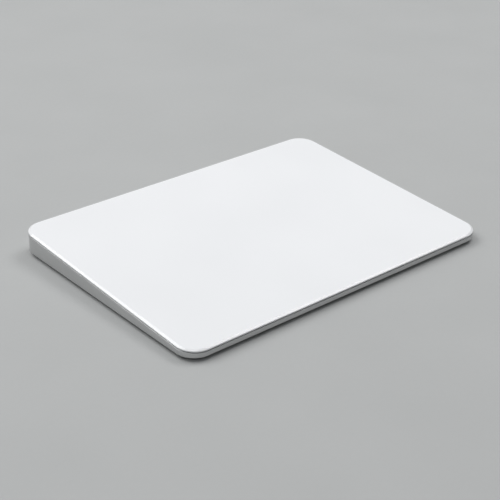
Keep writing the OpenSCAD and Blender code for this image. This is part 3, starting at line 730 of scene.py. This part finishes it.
for corner, (way_x, way_y) in CORNERS.items():
    u = way_x * ROOT_U
    v = way_y * ROOT_V
    profile = ((0, plate_floor(v)), (0, ROOT_N - EDGE_SOFT), (EDGE_SOFT, ROOT_N))
    rings = [
        tilted_ring(outline(ROOT_W - 2 * inset, ROOT_D - 2 * inset, 2 * EDGE_SOFT), u, v, n)
        for inset, n in profile]
    block = make(f"case_block_{corner}", [rings])
    hole_u = u + way_x * ROOT_HOLE_U
    hole_ends = (ROOT_N - HOLE_DEEP, ROOT_N + OVER)
    holes = [
        [tilted_ring(circle(HOLE_D / 2), hole_u, v + shift, n) for n in hole_ends]
        for shift in (-ROOT_HOLE_V, ROOT_HOLE_V)]
    combine(block, holes, "DIFFERENCE")
    dress(block, case_metal, "base", "case_metal")


# Flexures and gauges, cut across between root and tip, and gel pads. On the real part the flexures bend as
# the plate goes down and the pads shear as it shifts

pad_profile = soften([
    (PAD_ROUND + GUARD, PAD_LOW_N + PAD_CLEAR, 0),
    (0, PAD_LOW_N + PAD_CLEAR, PAD_ROUND),
    (0, PAD_TOP_N - PAD_CLEAR, PAD_ROUND),
    (PAD_ROUND + GUARD, PAD_TOP_N - PAD_CLEAR, 0)])
for corner, (way_x, way_y) in CORNERS.items():
    v = way_y * ROOT_V
    bend_from = in_plate(way_x * BEND_FROM, v, PAD_LOW_N) * MM
    bend_to = in_plate(way_x * BEND_TO, v, PAD_LOW_N) * MM
    for kind, ending, slot in BENT_PIECES:
        node = f"{kind}_{corner}"
        bent = bendable(f"{node}_{ending}", node, bend_from, bend_to)
        shade(bent, CAD_LOOKS[slot], slot, node)
        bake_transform(bent)
    pad_u = way_x * PAD_U
    rings = [tilted_ring(circle(PAD_D / 2 - point.x), pad_u, v, point.y) for point in pad_profile]
    pad = make(f"gel_pad_{corner}_disc", [rings])
    shade(pad, CAD_LOOKS["gel_clear"], "gel_clear", f"gel_pad_{corner}")
    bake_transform(pad)


# Feet

foot_profile = soften([
    (FOOT_ROUND + GUARD, 0, 0),
    (0, 0, FOOT_ROUND),
    (0, FOOT_TOP, FOOT_ROUND / 2),
    (FOOT_ROUND + GUARD, FOOT_TOP, 0)])
for name, (x, y) in foot_places.items():
    rings = [lying(circle(FOOT_D / 2 - point.x), x, y, point.y) for point in foot_profile]
    dress(make(f"{name}_pad", [rings]), foot_rubber, "base", "foot_rubber", name)


# Port

shell_floor = PORT_Y0 + PORT_BACK
shell_profile = soften([
    (PORT_SKIN, PORT_Y0, 0),
    (0, PORT_Y0, PORT_BACK_ROUND),
    (0, PORT_Y1, PORT_LIP_ROUND),
    (PORT_SKIN, PORT_Y1, PORT_LIP_ROUND),
    (PORT_SKIN, shell_floor, 0)])
shell_rings = [
    facing_back(stadium(PORT_W - 2 * point.x, PORT_H - 2 * point.x), 0, point.y, PORT_Z)
    for point in shell_profile]
dress(make("port_can", [shell_rings]), port_steel, "base", "port_steel", "port_shell")

tongue_profile = soften([
    (0, shell_floor, 0),
    (0, shell_floor + TONGUE_L, TONGUE_ROUND),
    (TONGUE_ROUND * 2, shell_floor + TONGUE_L, 0)])
tongue_rings = [
    facing_back(rectangle(TONGUE_W - 2 * point.x, TONGUE_T - 2 * point.x), 0, point.y, PORT_Z)
    for point in tongue_profile]
dress(make("port_blade", [tongue_rings]), chip_black, "base", "chip_black", "port_tongue")


# Switch

knob_y0 = BACK_OUT - POCKET_DEEP + KNOB_GAP
knob_y1 = knob_y0 + KNOB_T
knob_profile = soften([
    (KNOB_ROUND + GUARD, knob_y0, 0),
    (0, knob_y0, KNOB_ROUND),
    (0, knob_y1, KNOB_ROUND),
    (KNOB_ROUND + GUARD, knob_y1, 0)])
knob_rings = [
    facing_back(stadium(KNOB_W - 2 * point.x, KNOB_H - 2 * point.x), KNOB_X, point.y, PORT_Z)
    for point in knob_profile]
knob = make("switch_slider", [knob_rings])
grooves = []
for number in range(GROOVES):
    x = KNOB_X + (number - (GROOVES - 1) / 2) * 2 * GROOVE_W
    points = rectangle(GROOVE_W, KNOB_H - 2 * GROOVE_W)
    grooves.append([facing_back(points, x, y, PORT_Z) for y in (knob_y1 - GROOVE_DEEP, knob_y1 + OVER)])
combine(knob, grooves, "DIFFERENCE")
neck_y = (FLANGE_Y1 - SLOT_FIT, knob_y0 + KNOB_T / 2)
neck = [facing_back(rectangle(NECK_W, NECK_H), KNOB_X, y, PORT_Z) for y in neck_y]
flange = [facing_back(rectangle(FLANGE_W, FLANGE_H), KNOB_X, y, PORT_Z) for y in (FLANGE_Y0, FLANGE_Y1)]
combine(knob, [neck, flange], "UNION")
pocket_y = (FLANGE_Y0 - OVER, FLANGE_Y1 - SLOT_FIT)
lever_points = rectangle(LEVER_W + 2 * SLOT_FIT, LEVER_H + 2 * SLOT_FIT)
lever_pocket = [facing_back(lever_points, KNOB_X, y, PORT_Z) for y in pocket_y]
combine(knob, [lever_pocket], "DIFFERENCE")
dress(knob, knob_metal, "power_switch", "knob_metal", "switch_knob")


# Studio

def towards(place, target):
    """The turn of a lamp or camera at a place that looks at a target."""
    return (Vector(target) - Vector(place)).to_track_quat("-Z", "Y")


def area_light(name, place, size, power):
    """A round soft lamp."""
    data = bpy.data.lights.new(name, "AREA")
    data.shape = "DISK"
    data.size = size * MM
    data.energy = power
    lamp = bpy.data.objects.new(name, data)
    lamp.location = Vector(place) * MM
    lamp.rotation_euler = towards(place, LAMP_TARGET).to_euler()
    bpy.context.scene.collection.objects.link(lamp)


def dome():
    """Soft light from all round, full overhead, dim near the horizon and dimmest in front on the right."""
    world = bpy.data.worlds.new("studio_dome")
    world.use_nodes = True
    nodes, links = world.node_tree.nodes, world.node_tree.links
    direction = nodes.new("ShaderNodeTexCoord").outputs["Generated"]
    height = nodes.new("ShaderNodeVectorMath")
    height.operation = "DOT_PRODUCT"
    height.inputs[1].default_value = DOME_UP
    ramp = nodes.new("ShaderNodeValToRGB")
    ramp.color_ramp.elements[0].color = DOME_LOW
    ramp.color_ramp.elements[1].color = DOME_HIGH
    ramp.color_ramp.elements[1].position = DOME_FULL_AT
    links.new(direction, height.inputs[0])
    links.new(height.outputs["Value"], ramp.inputs["Fac"])
    links.new(ramp.outputs["Color"], nodes["Background"].inputs["Color"])
    nodes["Background"].inputs["Strength"].default_value = DOME_STRENGTH
    bpy.context.scene.world = world


floor_rings = [lying(rectangle(FLOOR_SIZE, FLOOR_SIZE), 0, 0, z) for z in (-FLOOR_T, 0)]
floor = make("studio_floor", [floor_rings])
floor.data.materials.append(floor_paper("floor_look"))
for name, (place, size, power) in LAMPS.items():
    area_light(name, place, size, power)
dome()

camera_data = bpy.data.cameras.new("camera")
camera_data.sensor_fit = "HORIZONTAL"
camera_data.sensor_width = CAMERA_SENSOR
camera_data.lens = CAMERA_LENS
camera = bpy.data.objects.new("camera", camera_data)
stand = Matrix.Translation(Vector(CAMERA_AT) * MM)
aim = towards(CAMERA_AT, CAMERA_TO).to_matrix().to_4x4()
camera.matrix_world = stand @ aim @ Matrix.Rotation(CAMERA_ROLL, 4, "Z")
bpy.context.scene.collection.objects.link(camera)
bpy.context.scene.camera = camera
bpy.context.scene.view_settings.view_transform = "Standard"
